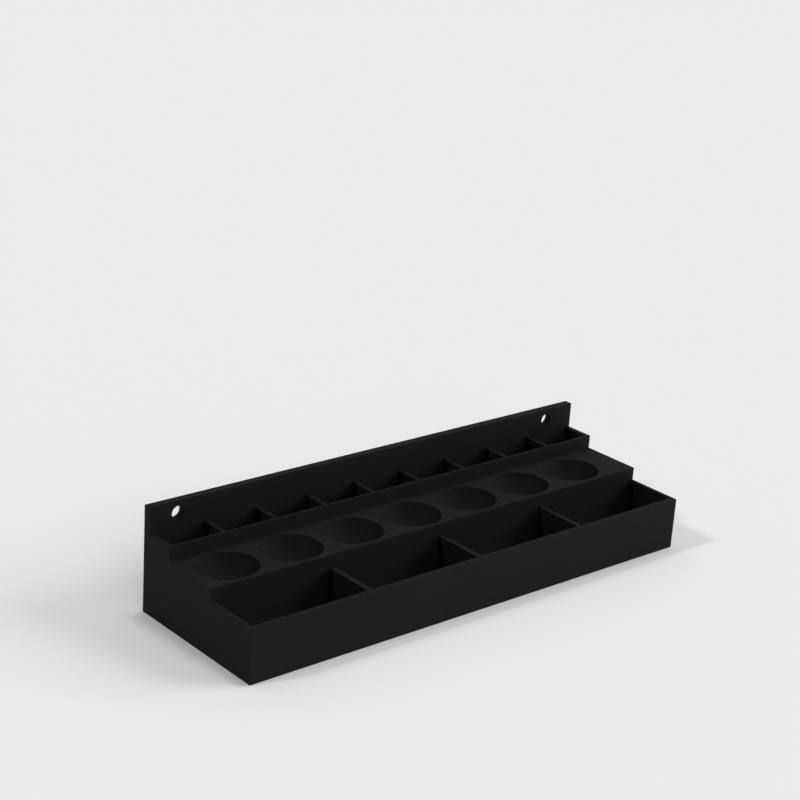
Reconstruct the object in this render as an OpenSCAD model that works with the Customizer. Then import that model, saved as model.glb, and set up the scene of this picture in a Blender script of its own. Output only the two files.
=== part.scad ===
// Hobby workstation organizer: a stepped desk or wall tray with open bins in front, a deck of round-bottomed
// dishes in the middle, and narrow tool slots at the back, below a tall board with two screw holes.
// Millimetres. X runs along the body, Y from front to back, Z up. The origin is the middle of the footprint.

/* [Whole body] */
// Length of the body, from end to end
body_length = 250; // [240:1:320]
// Height of the back board
board_height = 50; // [46:0.5:80]
// Height of the walls round the front bins
bin_height = 25; // [20:0.5:28]
// Height of the dish deck
deck_height = 31.2; // [29:0.1:34]
// Height of the walls round the tool slots
slot_height = 37.6; // [35:0.1:41]

/* [Front bins] */
// Number of bins
bin_count = 4; // [2:1:8]
// Clear depth of a bin, from front to back
bin_depth = 26.1; // [20:0.1:36]
// Thickness of the front wall
front_wall_t = 2.7; // [1.6:0.1:4]
// Thickness of a wall between two bins
bin_divider_t = 2.6; // [1.2:0.1:4]
// Thickness of the end walls beside the bins and the deck
low_end_t = 2; // [1.2:0.1:3]
// Top edge of a bin's rounded floor where it dies into the walls
trough_land = 0.3; // [0.2:0.1:1]

/* [Dishes] */
// Number of dishes
dish_count = 7; // [3:1:7]
// Depth of the deck, from the front of the bin back wall to the slot front wall
deck_depth = 31; // [30:0.1:40]
// Thickness of the deck plate
deck_t = 2; // [1.2:0.1:3]
// Length of a dish, along the body
dish_length = 29.1; // [27:0.1:30]
// Width of a dish, across the body
dish_width = 26.8; // [22:0.1:27]
// Depth of a dish, below the top of the deck
dish_depth = 10; // [6:0.1:11]
// Thickness of a dish's own wall
dish_wall_t = 1.6; // [0.8:0.1:2]
// Plain deck to the left of the first dish
first_margin = 3.5; // [3:0.1:8]
// Plain deck to the right of the last dish
last_margin = 15.2; // [8:0.1:20]
// Thickness of the wall between the bins and the dishes
riser_t = 1.2; // [0.8:0.1:1.8]
// Land between that wall and the nearest edge of a dish
rim_land = 0.4; // [0.2:0.1:1]

/* [Tool slots] */
// Number of tool slots
slot_count = 9; // [4:1:12]
// Clear depth of a slot, from front to back
slot_depth = 13.75; // [8:0.05:30]
// Thickness of the wall between the dishes and the slots
slot_wall_t = 1.25; // [0.8:0.05:3]
// Thickness of a wall between two slots
slot_divider_t = 2.2; // [1.2:0.1:4]
// Thickness of the end walls beside the slots
high_end_t = 2.5; // [1.2:0.1:4]

/* [Floor and back board] */
// Thickness of the floor
floor_t = 2; // [1.2:0.1:3]
// Thickness of the back board
board_t = 4; // [2.4:0.1:6]
// Diameter of the two screw holes
hole_d = 6.3; // [3:0.1:8]
// From the top of the board down to the middle of a screw hole
hole_drop = 5.6; // [4.5:0.1:8]
// From the left end to the middle of the left screw hole
left_hole_inset = 14.4; // [8:0.1:40]
// From the right end to the middle of the right screw hole
right_hole_inset = 16.9; // [8:0.1:40]

/* [Hidden] */
// Sides of a full circle in the preview
$fn = 96;
// How far a cut runs past the face that it goes through
overrun = 1;
plastic = [0.11, 0.11, 0.11];

half_length = body_length / 2;
bins_end_x = half_length - low_end_t;
slots_end_x = half_length - high_end_t;

// Faces from front to back
body_depth = front_wall_t + bin_depth + deck_depth + slot_wall_t + slot_depth + board_t;
front_y = -body_depth / 2;
bin_front_y = front_y + front_wall_t;
deck_front_y = bin_front_y + bin_depth;
riser_back_y = deck_front_y + riser_t;
deck_back_y = deck_front_y + deck_depth;
slot_front_y = deck_back_y + slot_wall_t;
board_front_y = slot_front_y + slot_depth;
back_y = board_front_y + board_t;

deck_under_z = deck_height - deck_t;

// Bins
bin_length = (2 * bins_end_x - (bin_count - 1) * bin_divider_t) / bin_count;
bin_pitch = bin_length + bin_divider_t;
trough_radius = bin_depth / 2;
trough_z = floor_t + trough_radius;
trough_top_z = trough_z - sqrt(pow(trough_radius, 2) - pow(trough_radius - trough_land, 2));

// Dishes, each the lowest part of a round bar whose middle lies above the deck
dish_radius = dish_width / 2;
dish_straight = dish_length - dish_width;
dish_round = (pow(dish_radius, 2) + pow(dish_depth, 2)) / (2 * dish_depth);
dish_z = deck_height - dish_depth + dish_round;
dish_y = riser_back_y + rim_land + dish_radius;
dish_pitch = (body_length - first_margin - last_margin - dish_length) / (dish_count - 1);

// Slots
slot_length = (2 * slots_end_x - (slot_count - 1) * slot_divider_t) / slot_count;
slot_pitch = slot_length + slot_divider_t;

// Screw holes
hole_z = board_height - hole_drop;
hole_xs = [-half_length + left_hole_inset, half_length - right_hole_inset];

// Left face of a bin, middle of a dish, and left face of a tool slot, counted from 1 at the left
function bin_x(k) = -bins_end_x + (k - 1) * bin_pitch;
function dish_x(k) = -half_length + first_margin + dish_length / 2 + (k - 1) * dish_pitch;
function slot_x(k) = -slots_end_x + (k - 1) * slot_pitch;

// A block between its lowest and its highest corner
module block(low, high) {
    translate(low) cube(high - low);
}

// A round bar with ball ends, lying along X
module pill(radius, straight) {
    for (side = [-1, 1]) translate([side * straight / 2, 0, 0]) sphere(r = radius);
    rotate([0, 90, 0]) cylinder(r = radius, h = straight, center = true);
}

// The space of one dish, grown on all sides by a margin
module dish_space(k, grow) {
    translate([dish_x(k), dish_y, dish_z]) pill(dish_round + grow, dish_straight);
}

module front_wall() {
    color(plastic) block([-half_length, front_y, 0], [half_length, bin_front_y, bin_height]);
}

// Stepped end wall at the left: low beside the bins, higher beside the deck, highest beside the slots.
// The low steps run on into the higher ones, so that the wall stays in one piece.
module left_end_wall() {
    shared_t = min(low_end_t, high_end_t);
    color(plastic) {
        block([-half_length, bin_front_y, 0], [-bins_end_x, deck_back_y, bin_height]);
        block([-half_length, deck_front_y, 0], [-bins_end_x, deck_back_y, deck_height]);
        block([-half_length, deck_front_y, 0], [-half_length + shared_t, board_front_y, deck_height]);
        block([-half_length, deck_back_y, 0], [-slots_end_x, board_front_y, slot_height]);
    }
}

module right_end_wall() {
    mirror([1, 0, 0]) left_end_wall();
}

// Tall board with the two screw holes by which the organizer hangs on a wall
module back_board() {
    color(plastic) difference() {
        block([-half_length, board_front_y, 0], [half_length, back_y, board_height]);
        for (x = hole_xs) translate([x, board_front_y - overrun, hole_z])
            rotate([-90, 0, 0]) cylinder(d = hole_d, h = board_t + 2 * overrun);
    }
}

module bin_back_wall() {
    color(plastic) block([-bins_end_x, deck_front_y, 0], [bins_end_x, riser_back_y, deck_under_z]);
}

module slot_front_wall() {
    color(plastic) block([-slots_end_x, deck_back_y, floor_t], [slots_end_x, slot_front_y, slot_height]);
}

// Floor under the deck and the slots, in one piece through both
module rear_floor() {
    shared_x = min(bins_end_x, slots_end_x);
    color(plastic) {
        block([-bins_end_x, riser_back_y, 0], [bins_end_x, deck_back_y, floor_t]);
        block([-shared_x, riser_back_y, 0], [shared_x, board_front_y, floor_t]);
        block([-slots_end_x, deck_back_y, 0], [slots_end_x, board_front_y, floor_t]);
    }
}

// Floor of one bin, rounded from front to back so that small things slide up under a finger
module bin_floor(k) {
    color(plastic) difference() {
        block([bin_x(k), bin_front_y, 0], [bin_x(k) + bin_length, deck_front_y, trough_top_z]);
        translate([bin_x(k) - overrun, bin_front_y + trough_radius, trough_z])
            rotate([0, 90, 0]) cylinder(r = trough_radius, h = bin_length + 2 * overrun);
    }
}

module front_divider(k) {
    x = bin_x(k) + bin_length;
    color(plastic) block([x, bin_front_y, 0], [x + bin_divider_t, deck_front_y, bin_height]);
}

// One stretch of the deck, with its round-bottomed dish hanging below the plate
module dish_section(k) {
    left = (k == 1) ? -bins_end_x : dish_x(k) - dish_pitch / 2;
    right = dish_x(k) + dish_pitch / 2;
    color(plastic) difference() {
        union() {
            block([left, deck_front_y, deck_under_z], [right, deck_back_y, deck_height]);
            intersection() {
                dish_space(k, dish_wall_t);
                block([left, riser_back_y, floor_t], [right, deck_back_y, deck_under_z]);
            }
        }
        dish_space(k, 0);
    }
}

// Plain deck to the right of the last dish
module deck_end_plate() {
    left = dish_x(dish_count) + dish_pitch / 2;
    color(plastic) block([left, deck_front_y, deck_under_z], [bins_end_x, deck_back_y, deck_height]);
}

module rear_divider(k) {
    x = slot_x(k) + slot_length;
    color(plastic) block([x, slot_front_y, floor_t], [x + slot_divider_t, board_front_y, slot_height]);
}

front_wall();
left_end_wall();
right_end_wall();
back_board();
bin_back_wall();
slot_front_wall();
rear_floor();
deck_end_plate();
for (k = [1 : bin_count]) bin_floor(k);
for (k = [1 : bin_count - 1]) front_divider(k);
for (k = [1 : dish_count]) dish_section(k);
for (k = [1 : slot_count - 1]) rear_divider(k);
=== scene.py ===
from math import asin, ceil, cos, pi, radians, sin, sqrt

import bmesh
import bpy
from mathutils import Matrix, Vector


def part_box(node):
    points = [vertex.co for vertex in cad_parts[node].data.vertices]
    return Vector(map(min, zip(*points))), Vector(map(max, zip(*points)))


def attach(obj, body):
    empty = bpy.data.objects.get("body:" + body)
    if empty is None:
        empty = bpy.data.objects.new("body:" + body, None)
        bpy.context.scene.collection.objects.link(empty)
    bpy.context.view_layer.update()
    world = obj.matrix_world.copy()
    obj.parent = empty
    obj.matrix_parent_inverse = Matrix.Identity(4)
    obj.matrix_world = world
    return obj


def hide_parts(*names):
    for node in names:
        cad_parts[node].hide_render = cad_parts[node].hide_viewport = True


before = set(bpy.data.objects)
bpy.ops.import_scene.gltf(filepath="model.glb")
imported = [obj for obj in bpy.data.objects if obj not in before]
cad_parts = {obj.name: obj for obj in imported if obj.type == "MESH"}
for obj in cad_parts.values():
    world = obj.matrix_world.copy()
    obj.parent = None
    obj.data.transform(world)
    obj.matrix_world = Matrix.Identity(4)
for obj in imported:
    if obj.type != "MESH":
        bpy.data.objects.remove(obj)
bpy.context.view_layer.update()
mm = 0.001
print("packed model:", len(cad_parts), "walls, floors and dishes")

# Sizes are in millimetres, except those of the floor, light and camera at the end

printing = {
    "layerHeight": 0.7,
    "stepShare": 0.36,  # 0 for a smooth slope, 1 for square steps
    "edgeRound": 0.12,
    "edgeSteps": 2,
    "edgeProfile": 0.5,  # a true quarter round
}

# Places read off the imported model

decimals = 3
corners = {}
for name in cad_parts:
    low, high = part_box(name)
    corners[name] = ([round(v / mm, decimals) for v in low], [round(v / mm, decimals) for v in high])

binNames = sorted(name for name in corners if name.startswith("bin_floor_"))
dishNames = sorted(name for name in corners if name.startswith("dish_section_"))
halfLength, binFrontY, binTop = corners["front_wall"][1]
lowEndX, riserBackY, deckUnder = corners["bin_back_wall"][1]
highEndX, _, slotTop = corners["slot_front_wall"][1]
deckFrontY = corners["bin_back_wall"][0][1]
deckBackY = corners["slot_front_wall"][0][1]
deckTop = corners["deck_end_plate"][1][2]
boardFrontY = corners["back_board"][0][1]
floorTop = corners["rear_floor"][1][2]

# Every piece as plain blocks, each from its lowest to its highest corner

blocksOf = {name: [box] for name, box in corners.items()}
for side, name in ((-1, "left_end_wall"), (1, "right_end_wall")):
    blocksOf[name] = []
    for inner, front, back, top in (
        (lowEndX, binFrontY, deckFrontY, binTop),
        (lowEndX, deckFrontY, deckBackY, deckTop),
        (highEndX, deckBackY, boardFrontY, slotTop),
    ):
        reach = sorted((side * inner, side * halfLength))
        blocksOf[name].append(([reach[0], front, 0], [reach[1], back, top]))
blocksOf["rear_floor"] = [
    ([-lowEndX, riserBackY, 0], [lowEndX, deckBackY, floorTop]),
    ([-highEndX, deckBackY, 0], [highEndX, boardFrontY, floorTop]),
]
for name in dishNames:
    low, high = corners[name]
    blocksOf[name] = [([low[0], low[1], deckUnder], high)]
allBlocks = [block for blocks in blocksOf.values() for block in blocks]


def holds(blocks, point):
    return any(all(low[k] < point[k] < high[k] for k in range(3)) for low, high in blocks)


# Edges that stand in the open are printed slightly round

tryStep = 0.02  # how far from an edge its surroundings are tried
squareOn = 0.999  # least cosine at which two directions count as the same
flatWithin = 0.5  # degrees


def standsOpen(edge):
    if len(edge.link_faces) != 2:
        return False
    first, second = (face.normal for face in edge.link_faces)
    if first.dot(second) > 1 - squareOn:
        return False
    if any(max(abs(v) for v in normal) < squareOn for normal in (first, second)):
        return False
    middle = (edge.verts[0].co + edge.verts[1].co) / 2
    if not holds(allBlocks, middle - tryStep * (first + second)):
        return False
    around = (first + second, first - second, second - first)
    return not any(holds(allBlocks, middle + tryStep * way) for way in around)


def roundOpenEdges(shape):
    shape.normal_update()
    openEdges = [edge for edge in shape.edges if standsOpen(edge)]
    if openEdges:
        made = bmesh.ops.bevel(
            shape, geom=openEdges, affect="EDGES", clamp_overlap=False,
            offset=printing["edgeRound"], offset_type="OFFSET",
            segments=printing["edgeSteps"], profile=printing["edgeProfile"],
        )
        for face in made["faces"]:
            face.smooth = True


# A wall is made of the small cells between all the faces that meet it, so that an edge can end where
# a neighbour begins
def cellsOf(name):
    cuts = []
    for k in range(3):
        lowest, highest = corners[name][0][k], corners[name][1][k]
        places = sorted({round(corner[k], decimals) for block in allBlocks for corner in block})
        cuts.append([v for v in places if lowest <= v <= highest])

    def middleOf(cell):
        return [(cuts[k][cell[k]] + cuts[k][cell[k] + 1]) / 2 for k in range(3)]

    across, deep, tall = (range(len(places) - 1) for places in cuts)
    cells = [(i, j, k) for i in across for j in deep for k in tall]
    return cuts, {cell for cell in cells if holds(blocksOf[name], middleOf(cell))}


def addOuterFaces(shape, cuts, solid):
    points = {}

    def pointAt(key):
        if key not in points:
            points[key] = shape.verts.new([cuts[k][key[k]] for k in range(3)])
        return points[key]

    for cell in solid:
        for axis in range(3):
            for way in (0, 1):
                beside = list(cell)
                beside[axis] += 2 * way - 1
                if tuple(beside) in solid:
                    continue
                a, b = (axis + 1) % 3, (axis + 2) % 3
                ring = []
                for da, db in ((0, 0), (1, 0), (1, 1), (0, 1)):
                    key = list(cell)
                    key[axis] += way
                    key[a] += da
                    key[b] += db
                    ring.append(pointAt(tuple(key)))
                shape.faces.new(ring if way else ring[::-1])


def mergeFlatFaces(shape):
    shape.normal_update()
    for edge in shape.edges:
        edge.seam = standsOpen(edge)
    bmesh.ops.dissolve_limit(
        shape, angle_limit=radians(flatWithin), use_dissolve_boundaries=False,
        verts=shape.verts, edges=shape.edges, delimit={"SEAM"},
    )
    spare = []
    for vert in shape.verts:
        if len(vert.link_edges) == 2 and all(edge.seam for edge in vert.link_edges):
            one, two = ((edge.other_vert(vert).co - vert.co).normalized() for edge in vert.link_edges)
            if one.dot(two) < -squareOn:
                spare.append(vert)
    bmesh.ops.dissolve_verts(shape, verts=spare)
    for edge in shape.edges:
        edge.seam = False


def wallShape(name):
    shape = bmesh.new()
    addOuterFaces(shape, *cellsOf(name))
    mergeFlatFaces(shape)
    roundOpenEdges(shape)
    return shape


# Materials

plastic = {
    "dark": (0.0072, 0.0072, 0.0074, 1),
    "light": (0.0128, 0.0128, 0.0132, 1),
    "cloudShare": 0.5,  # of the cloud in the mix of both tones, the rest is the streaks'
    "creaseTone": 0.15,  # times the plain tone, painted shade in the crease between two layers
    "beadTone": 1.5,  # and painted highlight in the middle of a layer
    "roughLow": 0.6,
    "roughHigh": 0.8,
    "specular": 0.075,
    "lineDepth": 0.03,
    "grainDepth": 0.012,
}

topSkin = {
    "rasterAngle": 45,  # degrees, how the nozzle's lines run over the tops
    "rasterWidth": 0.8,
    "leastUp": 0.5,  # a face that looks up more than this is a top
}

grain = {
    "fineness": 2600,  # this, the clouds and the streaks in cells to a metre
    "fineDetail": 3,
    "fineRoughness": 0.6,
    "cloudiness": 45,
    "cloudDetail": 4,
    "streaks": (14, 14, 900),  # long along a layer, thin across it
    "streakDetail": 2,
    "plainRoughness": 0.5,
}


def newGroup(label, inputs, outputs):
    group = bpy.data.node_groups.new(label, "ShaderNodeTree")
    for socketName in inputs:
        socket = group.interface.new_socket(socketName, in_out="INPUT", socket_type="NodeSocketFloat")
        socket.default_value = 1
    for socketName in outputs:
        group.interface.new_socket(socketName, in_out="OUTPUT", socket_type="NodeSocketFloat")
    return group, group.nodes.new("NodeGroupInput"), group.nodes.new("NodeGroupOutput")


def placeGroup(tree, group, **values):
    node = tree.nodes.new("ShaderNodeGroup")
    node.node_tree = group
    for socketName, value in values.items():
        node.inputs[socketName].default_value = value
    return node.outputs


def calculate(tree, operation, *values):
    node = tree.nodes.new("ShaderNodeMath")
    node.operation = operation
    for socket, value in zip(node.inputs, values):
        if isinstance(value, (int, float)):
            socket.default_value = value
        else:
            tree.links.new(value, socket)
    return node.outputs[0]


def splitVector(tree, socket):
    node = tree.nodes.new("ShaderNodeSeparateXYZ")
    tree.links.new(socket, node.inputs[0])
    return node.outputs


def noiseAt(tree, vector, detail, roughness):
    node = tree.nodes.new("ShaderNodeTexNoise")
    tree.links.new(vector, node.inputs["Vector"])
    node.inputs["Scale"].default_value = 1
    node.inputs["Detail"].default_value = detail
    node.inputs["Roughness"].default_value = roughness
    return node


def stretched(tree, vector, scale):
    node = tree.nodes.new("ShaderNodeMapping")
    tree.links.new(vector, node.inputs["Vector"])
    node.inputs["Scale"].default_value = scale
    return node.outputs["Vector"]


def ridges(tree, along, spacing):
    turns = calculate(tree, "MULTIPLY", calculate(tree, "DIVIDE", along, spacing), pi)
    return calculate(tree, "ABSOLUTE", calculate(tree, "SINE", turns))


def makePrintLines():
    group, ins, outs = newGroup("printLines", ["Layer", "Bead"], ["Height"])
    place = group.nodes.new("ShaderNodeTexCoord")
    x, y, z = splitVector(group, place.outputs["Object"])
    up = calculate(group, "ABSOLUTE", splitVector(group, place.outputs["Normal"])["Z"])
    top = calculate(group, "GREATER_THAN", up, topSkin["leastUp"])
    side = calculate(group, "SUBTRACT", 1, top)
    angle = radians(topSkin["rasterAngle"])
    acrossX = calculate(group, "MULTIPLY", x, cos(angle))
    acrossY = calculate(group, "MULTIPLY", y, sin(angle))
    across = calculate(group, "ADD", acrossX, acrossY)
    raster = calculate(group, "MULTIPLY", ridges(group, across, ins.outputs["Bead"]), top)
    layers = calculate(group, "MULTIPLY", ridges(group, z, ins.outputs["Layer"]), side)
    group.links.new(calculate(group, "ADD", raster, layers), outs.inputs["Height"])
    return group


# Painted shade in the creases between layers and painted highlight in the middle of each layer: the colour of
# a hollow darkens and lightens with height
def makePaintedCreaseShade():
    group, ins, outs = newGroup("creases", ["Layer", "Least", "Most"], ["Tone"])
    z = splitVector(group, group.nodes.new("ShaderNodeTexCoord").outputs["Object"])["Z"]
    span = calculate(group, "SUBTRACT", ins.outputs["Most"], ins.outputs["Least"])
    rise = calculate(group, "MULTIPLY", ridges(group, z, ins.outputs["Layer"]), span)
    group.links.new(calculate(group, "ADD", rise, ins.outputs["Least"]), outs.inputs["Tone"])
    return group


def makePlasticGrain():
    group, ins, outs = newGroup("plasticGrain", ["Fineness", "Cloudiness"], ["Grain", "Cloud", "Streak"])
    place = group.nodes.new("ShaderNodeTexCoord").outputs["Object"]
    fine = noiseAt(group, place, grain["fineDetail"], grain["fineRoughness"])
    cloud = noiseAt(group, place, grain["cloudDetail"], grain["plainRoughness"])
    drawnOut = stretched(group, place, grain["streaks"])
    streak = noiseAt(group, drawnOut, grain["streakDetail"], grain["plainRoughness"])
    group.links.new(ins.outputs["Fineness"], fine.inputs["Scale"])
    group.links.new(ins.outputs["Cloudiness"], cloud.inputs["Scale"])
    for noise, socketName in ((fine, "Grain"), (cloud, "Cloud"), (streak, "Streak")):
        group.links.new(noise.outputs["Fac"], outs.inputs[socketName])
    return group


def mixTones(tree, share):
    tone = tree.nodes.new("ShaderNodeMix")
    tone.data_type = "RGBA"
    tree.links.new(share, tone.inputs["Factor"])
    colours = [socket for socket in tone.inputs if socket.type == "RGBA"]
    colours[0].default_value = plastic["dark"]
    colours[1].default_value = plastic["light"]
    return next(socket for socket in tone.outputs if socket.type == "RGBA")


def scaledColour(tree, colour, tone):
    node = tree.nodes.new("ShaderNodeVectorMath")
    node.operation = "SCALE"
    tree.links.new(colour, node.inputs[0])
    tree.links.new(tone, node.inputs["Scale"])
    return node.outputs["Vector"]


def bumpFrom(tree, height, depth):
    node = tree.nodes.new("ShaderNodeBump")
    node.inputs["Strength"].default_value = 1
    node.inputs["Distance"].default_value = depth * mm
    tree.links.new(height, node.inputs["Height"])
    return node


printLines = makePrintLines()
creases = makePaintedCreaseShade()
plasticGrain = makePlasticGrain()


def printedPlastic(label, inHollow):
    material = bpy.data.materials.new(label)
    material.use_nodes = True
    tree = material.node_tree
    shader = tree.nodes["Principled BSDF"]
    shader.inputs["Specular IOR Level"].default_value = plastic["specular"]
    layer = printing["layerHeight"] * mm
    mottle = placeGroup(tree, plasticGrain, Fineness=grain["fineness"], Cloudiness=grain["cloudiness"])

    cloud = calculate(tree, "MULTIPLY", mottle["Cloud"], plastic["cloudShare"])
    streak = calculate(tree, "MULTIPLY", mottle["Streak"], 1 - plastic["cloudShare"])
    colour = mixTones(tree, calculate(tree, "ADD", cloud, streak))
    if inHollow:
        # painted shade at the creases between layers and painted highlight in the middle of each layer
        crease = placeGroup(tree, creases, Layer=layer, Least=plastic["creaseTone"], Most=plastic["beadTone"])
        colour = scaledColour(tree, colour, crease["Tone"])
    tree.links.new(colour, shader.inputs["Base Color"])

    rough = tree.nodes.new("ShaderNodeMapRange")
    tree.links.new(mottle["Grain"], rough.inputs["Value"])
    rough.inputs["To Min"].default_value = plastic["roughLow"]
    rough.inputs["To Max"].default_value = plastic["roughHigh"]
    tree.links.new(rough.outputs["Result"], shader.inputs["Roughness"])

    grainBump = bumpFrom(tree, mottle["Grain"], plastic["grainDepth"])
    if not inHollow:
        lines = placeGroup(tree, printLines, Layer=layer, Bead=topSkin["rasterWidth"] * mm)
        lineBump = bumpFrom(tree, lines["Height"], plastic["lineDepth"])
        tree.links.new(lineBump.outputs["Normal"], grainBump.inputs["Normal"])
    tree.links.new(grainBump.outputs["Normal"], shader.inputs["Normal"])
    return material


wallPlastic = printedPlastic("wallPlastic", False)
hollowPlastic = printedPlastic("hollowPlastic", True)
wallSlot, hollowSlot = 0, 1  # the order in which a piece with a hollow has them
print("materials: matt black plastic for walls and for hollows")


def meshObject(name, shape):
    data = bpy.data.meshes.new(name)
    bmesh.ops.scale(shape, vec=(mm, mm, mm), verts=shape.verts)
    shape.to_mesh(data)
    shape.free()
    made = bpy.data.objects.new(name, data)
    bpy.context.scene.collection.objects.link(made)
    return made


def newPiece(node, shape, materials):
    words = node.split("_")
    piece = meshObject(words[0] + "".join(word.capitalize() for word in words[1:]), shape)
    for material in materials:
        piece.data.materials.append(material)
    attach(piece, "root")
    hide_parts(node)
    return piece


# Walls and the rear floor

wallNames = [name for name in corners if name not in binNames + dishNames and name != "back_board"]
for name in wallNames:
    newPiece(name, wallShape(name), [wallPlastic])
print("walls:", len(wallNames))

# Back board with its two screw holes

board = {
    "holeDiameter": 6.3,
    "holeDrop": 5.6,
    "leftInset": 14.4,
    "rightInset": 16.9,
    "rimChamfer": 0.05,
    "holeSides": 96,
    "pastFaces": 1,  # how far the cutter reaches past the board
}


def holeCutter(x):
    _, back, top = corners["back_board"][1]
    front, z = boardFrontY, top - board["holeDrop"]
    radius, chamfer, past = board["holeDiameter"] / 2, board["rimChamfer"], board["pastFaces"]
    turns = [2 * pi * k / board["holeSides"] for k in range(board["holeSides"])]
    outline = (
        (radius + chamfer + past, front - past), (radius, front + chamfer),
        (radius, back - chamfer), (radius + chamfer + past, back + past),
    )
    shape = bmesh.new()
    rings = [[shape.verts.new((x + r * cos(t), y, z + r * sin(t))) for t in turns] for r, y in outline]
    for one, two in zip(rings, rings[1:]):
        for k in range(len(one)):
            shape.faces.new((one[k - 1], one[k], two[k], two[k - 1])).smooth = True
    shape.faces.new(rings[0])
    shape.faces.new(rings[-1])
    bmesh.ops.recalc_face_normals(shape, faces=shape.faces)
    return meshObject("holeCutter", shape)


backBoard = newPiece("back_board", wallShape("back_board"), [wallPlastic])
for x in (-halfLength + board["leftInset"], halfLength - board["rightInset"]):
    cutter = holeCutter(x)
    cut = backBoard.modifiers.new("screwHole", "BOOLEAN")
    cut.operation = "DIFFERENCE"
    cut.solver = "EXACT"
    cut.object = cutter
    bpy.context.view_layer.update()
    drilled = bpy.data.meshes.new_from_object(backBoard.evaluated_get(bpy.context.evaluated_depsgraph_get()))
    backBoard.modifiers.remove(cut)
    backBoard.data = drilled
    bpy.data.objects.remove(cutter)
print("back board with two screw holes")

# Hollows step down layer by layer, as a print does

levelSlack = 0.001  # of a layer, so that a hollow's top doesn't count as a level of its own


# (radius, height) of each crease, from the top of the hollow down to its flat floor
def layerOutline(radius, centreZ, topZ, floorZ):
    layer = printing["layerHeight"]
    highest, lowest = ceil(topZ / layer - levelSlack) - 1, round(floorZ / layer) + 1
    levels = [topZ, *(layer * n for n in range(highest, lowest - 1, -1)), floorZ]

    def slopeAt(z):
        return sqrt(max(0, radius ** 2 - (centreZ - z) ** 2))

    outline = []
    for high, low in zip(levels, levels[1:]):
        middle = slopeAt((high + low) / 2)
        for z in (high, low):
            outline.append((slopeAt(z) + printing["stepShare"] * (middle - slopeAt(z)), z))
    return outline


# Rounded floors of the front bins

trough = {
    "startsBelow": 0.9,  # the round begins this far below its own middle, as a thin lip on the wall
}


def binFloorShape(name):
    low, high = corners[name]
    middleY, radius = (low[1] + high[1]) / 2, (high[1] - low[1]) / 2
    centreZ = floorTop + radius
    start = centreZ - trough["startsBelow"]
    outline = layerOutline(radius, centreZ, start, floorTop)
    outline[0] = (radius, start)
    right = [(middleY + r, z) for r, z in outline]
    left = [(middleY - r, z) for r, z in reversed(outline)]
    profile = [(high[1], 0), *right, *left, (low[1], 0)]
    count = len(profile)

    shape = bmesh.new()
    ends = [[shape.verts.new((x, y, z)) for y, z in profile] for x in (low[0], high[0])]
    for k in range(count):
        after = (k + 1) % count
        face = shape.faces.new((ends[0][k], ends[0][after], ends[1][after], ends[1][k]))
        face.material_index = hollowSlot if 1 <= k < count - 2 else wallSlot
    shape.faces.new(ends[0])
    shape.faces.new(ends[1])
    bmesh.ops.recalc_face_normals(shape, faces=shape.faces)
    return shape


for name in binNames:
    newPiece(name, binFloorShape(name), [wallPlastic, hollowPlastic])
print("bin floors:", len(binNames))

# Deck sections with round-bottomed dishes

dish = {
    "width": 26.8,
    "length": 29.1,
    "depth": 10,
    "rimLand": 0.4,
    "rimChamfer": 0.1,
    "sides": 96,
    "shellRings": 12,
    "shellFlat": 4,  # degrees from straight down, where the shell ends in a flat
}
dishPitch = corners[dishNames[1]][1][0] - corners[dishNames[1]][0][0]
touching = 0.000001  # places closer than this are the same


def pillRing(shape, x, y, z, r, within=None):
    straight = (dish["length"] - dish["width"]) / 2
    half = dish["sides"] // 2
    ring = []
    for side in (1, -1):
        for k in range(half + 1):
            turn = pi * k / half - side * pi / 2
            px, py = x + side * straight + r * cos(turn), y + r * sin(turn)
            if within:
                left, right, front, back = within
                px, py = max(left, min(right, px)), max(front, min(back, py))
            ring.append(shape.verts.new((px, py, z)))
    return ring


def bridge(shape, one, two, smooth, material):
    for k in range(len(one)):
        face = shape.faces.new((one[k - 1], one[k], two[k], two[k - 1]))
        face.smooth = smooth
        face.material_index = material


def addHollow(shape, x, y, ballRadius, ballZ):
    radius, chamfer = dish["width"] / 2, dish["rimChamfer"]
    steps = layerOutline(ballRadius, ballZ, deckTop, deckTop - dish["depth"])
    below = [step for step in steps if step[1] < deckTop - chamfer]
    outline = [(radius + chamfer, deckTop), (radius, deckTop - chamfer), *below]
    rings = [pillRing(shape, x, y, z, r) for r, z in outline]
    for one, two in zip(rings, rings[1:]):
        bridge(shape, one, two, True, hollowSlot)
    shape.faces.new(rings[-1]).material_index = hollowSlot
    for ring in rings:
        for k in range(len(ring)):
            shape.edges.get((ring[k - 1], ring[k])).smooth = False
    return rings[0]


# The shell hangs below the plate, cut flat where it meets the wall of the bins
def addShell(shape, x, y, ballZ, low, high):
    shellRadius = ballZ - low[2]
    within = (low[0], high[0], riserBackY, high[1])
    firstTurn = asin((ballZ - deckUnder) / shellRadius)
    lastTurn = pi / 2 - radians(dish["shellFlat"])
    rings = []
    for k in range(dish["shellRings"] + 1):
        turn = firstTurn + (lastTurn - firstTurn) * k / dish["shellRings"]
        z = deckUnder if k == 0 else low[2] if k == dish["shellRings"] else ballZ - shellRadius * sin(turn)
        rings.append(pillRing(shape, x, y, z, shellRadius * cos(turn), within))
    for one, two in zip(rings, rings[1:]):
        bridge(shape, one, two, False, wallSlot)
    shape.faces.new(rings[-1])
    return rings[0]


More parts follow.
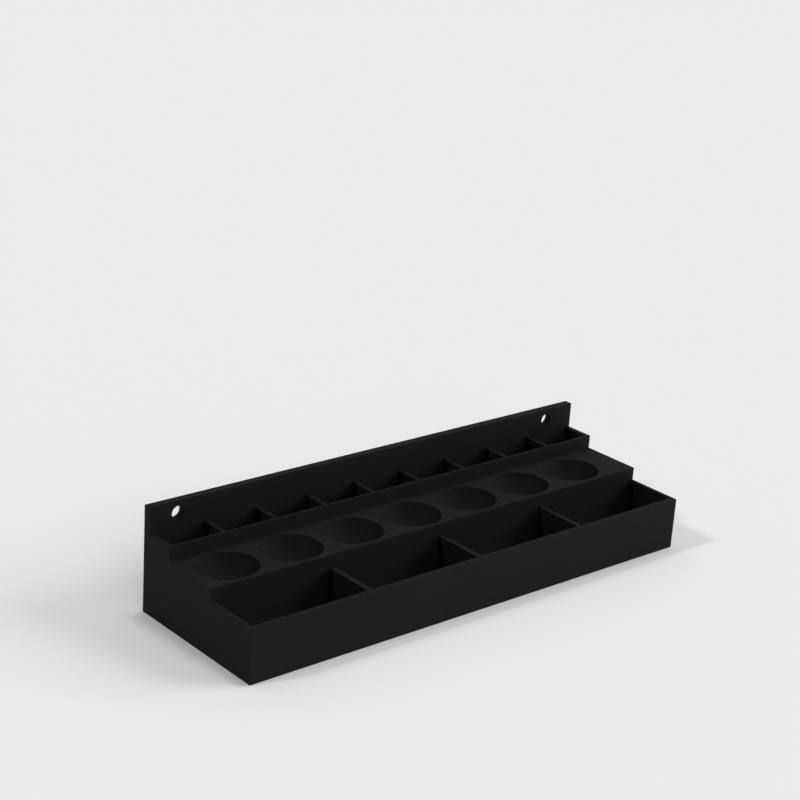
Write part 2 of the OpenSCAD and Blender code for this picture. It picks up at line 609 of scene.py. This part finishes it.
# The plate lies round both, out to the edges of its stretch of the deck
def addPlate(shape, x, y, rim, collar, low, high):
    spots = []
    for vert in rim:
        way = Vector((vert.co.x - x, vert.co.y - y))
        room = ((high if way.x > 0 else low)[0] - x, (high if way.y > 0 else low)[1] - y)
        reach = min(room[k] / way[k] for k in (0, 1) if abs(way[k]) > touching)
        spots.append((x + way.x * reach, y + way.y * reach))

    corner = {}
    for k in range(len(spots)):
        (ax, ay), (bx, by) = spots[k - 1], spots[k]
        if abs(ax - bx) > touching and abs(ay - by) > touching:
            sideX = ax if min(abs(ax - low[0]), abs(ax - high[0])) < touching else bx
            sideY = ay if min(abs(ay - low[1]), abs(ay - high[1])) < touching else by
            corner[k] = (sideX, sideY)

    outlines = []
    for z, inner in ((deckTop, rim), (deckUnder, collar)):
        edgeVerts = [shape.verts.new((px, py, z)) for px, py in spots]
        cornerVerts = {k: shape.verts.new((px, py, z)) for k, (px, py) in corner.items()}
        outline = []
        for k in range(len(spots)):
            turned = [cornerVerts[k]] if k in cornerVerts else []
            shape.faces.new([inner[k - 1], inner[k], edgeVerts[k], *turned, edgeVerts[k - 1]])
            outline += [*turned, edgeVerts[k]]
        outlines.append(outline)
    bridge(shape, *outlines, False, wallSlot)


def dishShape(name):
    low, high = corners[name]
    radius, depth = dish["width"] / 2, dish["depth"]
    x, y = high[0] - dishPitch / 2, riserBackY + dish["rimLand"] + radius
    ballRadius = (radius ** 2 + depth ** 2) / (2 * depth)
    ballZ = deckTop + ballRadius - depth
    shape = bmesh.new()
    rim = addHollow(shape, x, y, ballRadius, ballZ)
    collar = addShell(shape, x, y, ballZ, low, high)
    addPlate(shape, x, y, rim, collar, low, high)
    bmesh.ops.recalc_face_normals(shape, faces=shape.faces)
    roundOpenEdges(shape)
    return shape


for name in dishNames:
    newPiece(name, dishShape(name), [wallPlastic, hollowPlastic])
print("deck sections with dishes:", len(dishNames))

# Floor, light and camera, in metres

studio = {
    "floorTone": (0.8308, 0.8308, 0.8308, 1),
    "floorHalf": 20,
    "floorGap": 0.0001,  # keeps the floor from flickering through the base
    "skyLevel": 0.312,
    "skySlope": (0.248, 0.065, 0),  # brighter toward the right and the back
    "suns": [  # toward the lamp in x, y and z, strength, angle in degrees
        ("keySun", (0.762, -0.476, 0.438), 1.434, 35),
        ("frontSun", (-0.296, -0.814, 0.5), 0.4, 30),
        ("highFrontSun", (0, -0.707, 0.707), 0.2, 40),
        ("smallSun", (-0.706, 0.189, 0.682), 0.773, 6),
        ("overheadSun", (0.174, 0, 0.985), 0.472, 12),
        ("backSun", (0, 0.423, 0.906), 0.2, 40),
    ],
}

view = {
    "lens": 85,  # and the sensor's width, in millimetres
    "sensorWidth": 36,
    "location": (-0.52907, -0.57852, 0.37053),
    "turn": (69.958, -3.624, -39.996),  # degrees
}


def makeFloor():
    half, z = studio["floorHalf"], -studio["floorGap"]
    square = [(-half, -half, z), (half, -half, z), (half, half, z), (-half, half, z)]
    data = bpy.data.meshes.new("floor")
    data.from_pydata(square, [], [(0, 1, 2, 3)])
    floorPlane = bpy.data.objects.new("floor", data)
    bpy.context.scene.collection.objects.link(floorPlane)
    paper = bpy.data.materials.new("palePaper")
    paper.use_nodes = True
    shader = paper.node_tree.nodes["Principled BSDF"]
    shader.inputs["Base Color"].default_value = studio["floorTone"]
    shader.inputs["Roughness"].default_value = 1
    shader.inputs["Specular IOR Level"].default_value = 0
    data.materials.append(paper)


def makeSky():
    world = bpy.data.worlds.new("studioSky")
    world.use_nodes = True
    bpy.context.scene.world = world
    tree = world.node_tree
    lean = tree.nodes.new("ShaderNodeVectorMath")
    lean.operation = "DOT_PRODUCT"
    tree.links.new(tree.nodes.new("ShaderNodeTexCoord").outputs["Generated"], lean.inputs[0])
    lean.inputs[1].default_value = studio["skySlope"]
    level = calculate(tree, "ADD", lean.outputs["Value"], studio["skyLevel"])
    tree.links.new(level, tree.nodes["Background"].inputs["Color"])


def makeSuns():
    for label, toward, strength, angle in studio["suns"]:
        lamp = bpy.data.lights.new(label, "SUN")
        lamp.energy = strength
        lamp.angle = radians(angle)
        sun = bpy.data.objects.new(label, lamp)
        sun.rotation_mode = "QUATERNION"
        sun.rotation_quaternion = Vector(toward).to_track_quat("Z", "Y")
        bpy.context.scene.collection.objects.link(sun)


def makeCamera():
    lens = bpy.data.cameras.new("camera")
    lens.lens = view["lens"]
    lens.sensor_width = view["sensorWidth"]
    camera = bpy.data.objects.new("camera", lens)
    camera.location = view["location"]
    camera.rotation_euler = [radians(angle) for angle in view["turn"]]
    bpy.context.scene.collection.objects.link(camera)
    bpy.context.scene.camera = camera


makeFloor()
makeSky()
makeSuns()
makeCamera()
bpy.context.scene.view_settings.view_transform = "Standard"
print("floor, light and camera")
